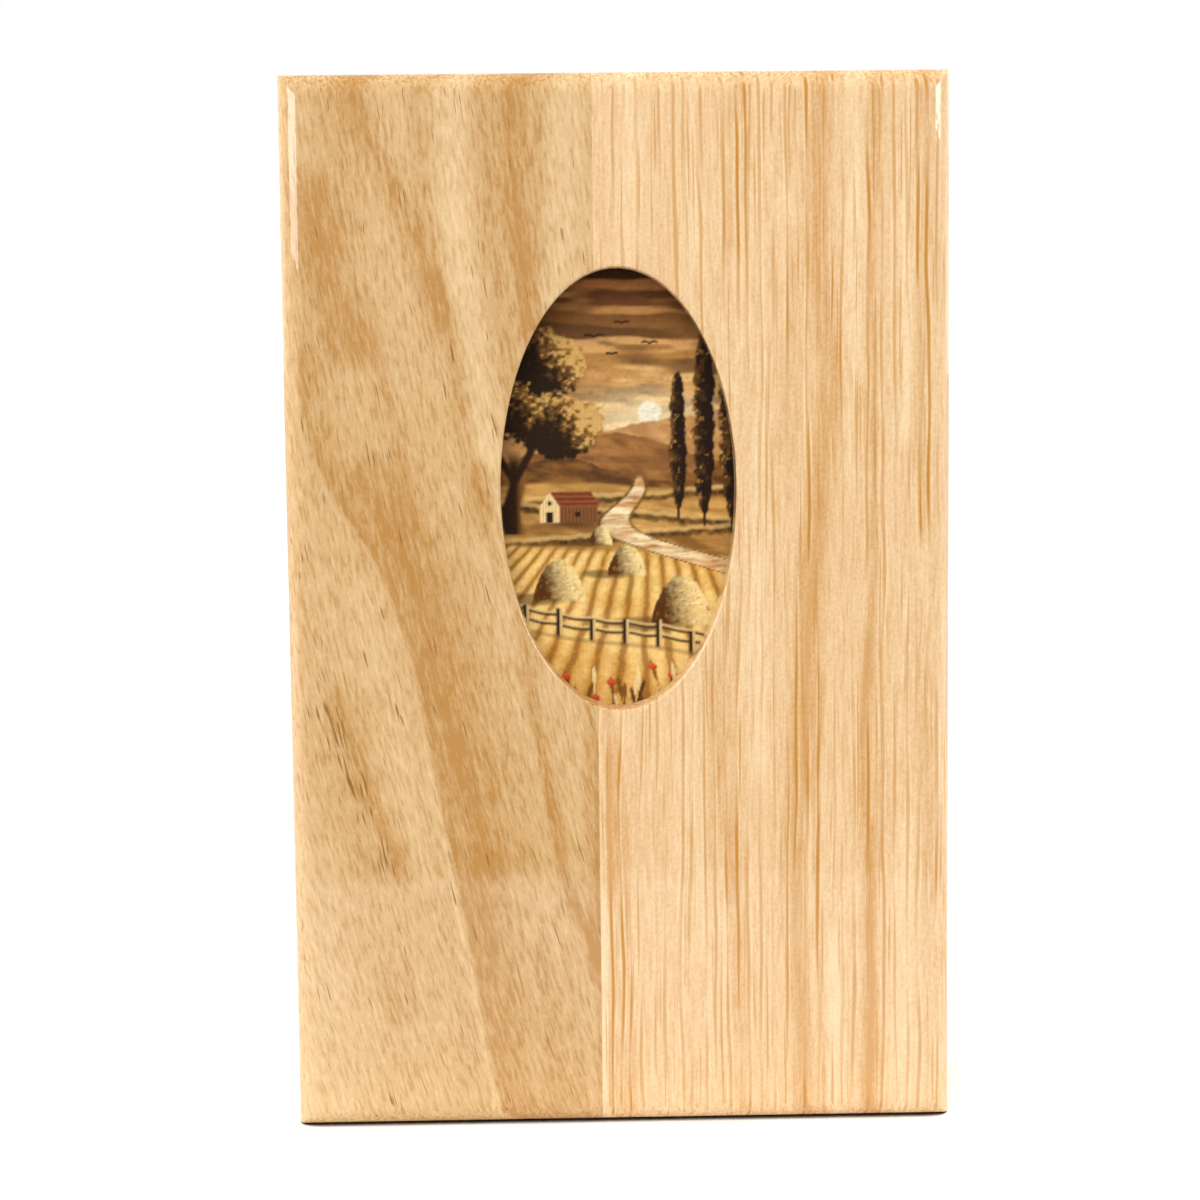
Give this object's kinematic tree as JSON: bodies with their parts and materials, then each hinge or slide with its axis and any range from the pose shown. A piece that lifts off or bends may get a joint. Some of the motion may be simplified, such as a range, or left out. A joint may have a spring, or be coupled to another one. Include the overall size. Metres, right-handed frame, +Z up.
{
  "type": "playing card box with drawer",
  "caption": "Upright oak box for one deck of playing cards, with an oval window in its front and a drawer that slides out of its upper end.",
  "frame": {"origin": "middle of the foot print, on the surface that the box stands on", "axes": "+X to the right and +Y to the back, seen from the front, and +Z up, the way the drawer opens"},
  "size_m": [0.0906, 0.033, 0.144],
  "materials": {
    "flat_sawn_oak": "satin lacquer over flat-sawn oak",
    "rift_sawn_oak": "satin lacquer over rift-sawn oak",
    "rail_oak": "satin lacquer over oak",
    "drawer_oak": "oiled oak",
    "panel_oak": "oiled oak panel",
    "dowel_oak": "end grain of oak dowel",
    "card_stock": "cut edges of coated card stock",
    "printed_card": "coated card with a printed country landscape"
  },
  "bodies": {
    "case": {"front_board_left": "flat_sawn_oak", "front_board_right": "rift_sawn_oak", "back_board_left": "rift_sawn_oak", "back_board_right": "flat_sawn_oak", "side_rail_left": "rail_oak", "side_rail_right": "rail_oak", "end_rail": "rail_oak", "stop_dowels": "dowel_oak"},
    "drawer": {"drawer_front": "drawer_oak", "drawer_back": "drawer_oak", "drawer_side_left": "drawer_oak", "drawer_side_right": "drawer_oak", "drawer_bottom": "panel_oak", "drawer_divider": "drawer_oak", "card_stack": "card_stock", "top_card": "printed_card"}
  },
  "joints": [
    {"name": "drawer_slide", "type": "slide", "parent": "case", "child": "drawer", "axis": [0, 0, 1], "range_m": [0, 0.102]}
  ]
}
